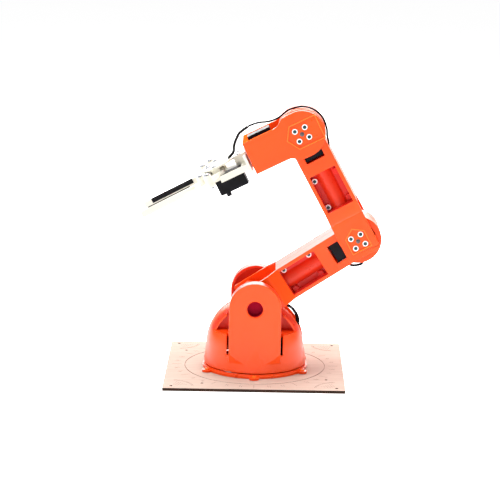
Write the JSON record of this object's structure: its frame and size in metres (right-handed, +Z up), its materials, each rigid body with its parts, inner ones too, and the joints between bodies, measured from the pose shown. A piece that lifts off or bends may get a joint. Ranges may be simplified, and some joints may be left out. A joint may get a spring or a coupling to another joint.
{
  "type": "desktop robot arm",
  "caption": "Hobby servo robot arm with round turntable, two hollow links, wrist, geared parallel gripper and square plywood base.",
  "frame": {"origin": "centre of the underside of the plywood board, where the arm rests on a table", "axes": "+Z up along the turntable's axis; the arm reaches towards -X at rest; -Y is the near side with the servo horns' blind covers"},
  "size_m": [0.2481, 0.185, 0.2807],
  "materials": {
    "orange_plastic": "glossy moulded plastic",
    "ivory_plastic": "satin moulded plastic",
    "white_plastic": "glossy",
    "black_plastic": "satin",
    "screw_steel": "plated",
    "plywood": "laser cut plywood with dark edges",
    "pad_rubber": "matt foam rubber",
    "cable_rubber": "satin"
  },
  "bodies": {
    "base": {"base_board": "plywood", "base_ring": "orange_plastic", "base_ring_screws": "screw_steel", "servo_tower": "orange_plastic", "base_servo": "black_plastic"},
    "turntable": {"turntable_horn": "white_plastic", "turntable_floor": "orange_plastic", "turntable_screws": "screw_steel", "dome_near": "orange_plastic", "dome_far": "orange_plastic", "shoulder_housing_near": "orange_plastic", "shoulder_housing_far": "orange_plastic", "shoulder_servo": "black_plastic", "shoulder_lead": "cable_rubber"},
    "upper_arm": {"upper_near": "orange_plastic", "upper_far": "orange_plastic", "upper_horn": "white_plastic", "upper_horn_screws": "screw_steel", "upper_washers": "white_plastic", "upper_shell_screws": "screw_steel", "upper_pin": "screw_steel", "elbow_servo": "black_plastic", "elbow_lead": "cable_rubber"},
    "forearm": {"fore_near": "orange_plastic", "fore_far": "orange_plastic", "fore_horn": "white_plastic", "fore_horn_screws": "screw_steel", "fore_washers": "white_plastic", "fore_shell_screws": "screw_steel", "fore_pin": "screw_steel", "wrist_servo": "black_plastic"},
    "wrist": {"wrist_near": "orange_plastic", "wrist_far": "orange_plastic", "wrist_horn": "white_plastic", "wrist_horn_screws": "screw_steel", "wrist_washers": "white_plastic", "wrist_pin": "screw_steel", "roll_servo": "black_plastic", "wrist_lead": "cable_rubber"},
    "palm": {"roll_horn": "white_plastic", "palm_bracket": "ivory_plastic", "palm_top": "ivory_plastic", "grip_servo": "black_plastic", "palm_screws": "screw_steel", "grip_lead": "cable_rubber"},
    "drive_near": {"drive_near": "ivory_plastic"},
    "drive_far": {"drive_far": "ivory_plastic"},
    "idle_near": {"idle_near": "ivory_plastic"},
    "idle_far": {"idle_far": "ivory_plastic"},
    "finger_near": {"finger_near": "ivory_plastic", "finger_screws_near": "screw_steel", "pad_near": "pad_rubber"},
    "finger_far": {"finger_far": "ivory_plastic", "finger_screws_far": "screw_steel", "pad_far": "pad_rubber"}
  },
  "joints": [
    {"name": "base_turn", "type": "hinge", "parent": "base", "child": "turntable", "pos_m": [0, 0, 0.04], "axis": [0, 0, 1], "range_deg": [-90, 90]},
    {"name": "shoulder", "type": "hinge", "parent": "turntable", "child": "upper_arm", "pos_m": [0, 0, 0.0755], "axis": [0, -1, 0], "range_deg": [-18.3, 58], "deforming": ["shoulder_lead"]},
    {"name": "elbow", "type": "hinge", "parent": "upper_arm", "child": "forearm", "pos_m": [0.10448, 0, 0.14413], "axis": [0, 1, 0], "range_deg": [-4.8, 175], "deforming": ["elbow_lead"]},
    {"name": "wrist_pitch", "type": "hinge", "parent": "forearm", "child": "wrist", "pos_m": [0.04483, 0, 0.25398], "axis": [0, 1, 0], "range_deg": [-2, 178], "deforming": ["wrist_lead"]},
    {"name": "wrist_roll", "type": "hinge", "parent": "wrist", "child": "palm", "pos_m": [0.04483, 0, 0.25398], "axis": [-0.8949, 0, -0.4462], "range_deg": [-90, 90], "deforming": ["grip_lead"]},
    {"name": "gripper", "type": "hinge", "parent": "palm", "child": "drive_near", "pos_m": [-0.04108, -0.0195, 0.21114], "axis": [0.4462, 0, -0.8949], "range_deg": [0, 63]},
    {"name": "finger_near_turn", "type": "hinge", "parent": "drive_near", "child": "finger_near", "pos_m": [-0.04822, -0.04696, 0.20758], "axis": [0.4462, 0, -0.8949], "range_deg": [-63, 0]},
    {"name": "idle_near_turn", "type": "hinge", "parent": "palm", "child": "idle_near", "pos_m": [-0.04824, -0.0045, 0.20758], "axis": [0.4462, 0, -0.8949], "range_deg": [0, 63]},
    {"name": "drive_far_turn", "type": "hinge", "parent": "palm", "child": "drive_far", "pos_m": [-0.04108, 0.0195, 0.21114], "axis": [0.4462, 0, -0.8949], "range_deg": [-63, 0]},
    {"name": "finger_far_turn", "type": "hinge", "parent": "drive_far", "child": "finger_far", "pos_m": [-0.04822, 0.04696, 0.20758], "axis": [0.4462, 0, -0.8949], "range_deg": [0, 63]},
    {"name": "idle_far_turn", "type": "hinge", "parent": "palm", "child": "idle_far", "pos_m": [-0.04824, 0.0045, 0.20758], "axis": [0.4462, 0, -0.8949], "range_deg": [-63, 0]}
  ],
  "couplings": [
    {"joint": "finger_near_turn", "follows": "gripper", "ratio": -1},
    {"joint": "idle_near_turn", "follows": "gripper", "ratio": 1},
    {"joint": "drive_far_turn", "follows": "gripper", "ratio": -1},
    {"joint": "finger_far_turn", "follows": "gripper", "ratio": 1},
    {"joint": "idle_far_turn", "follows": "gripper", "ratio": -1}
  ]
}
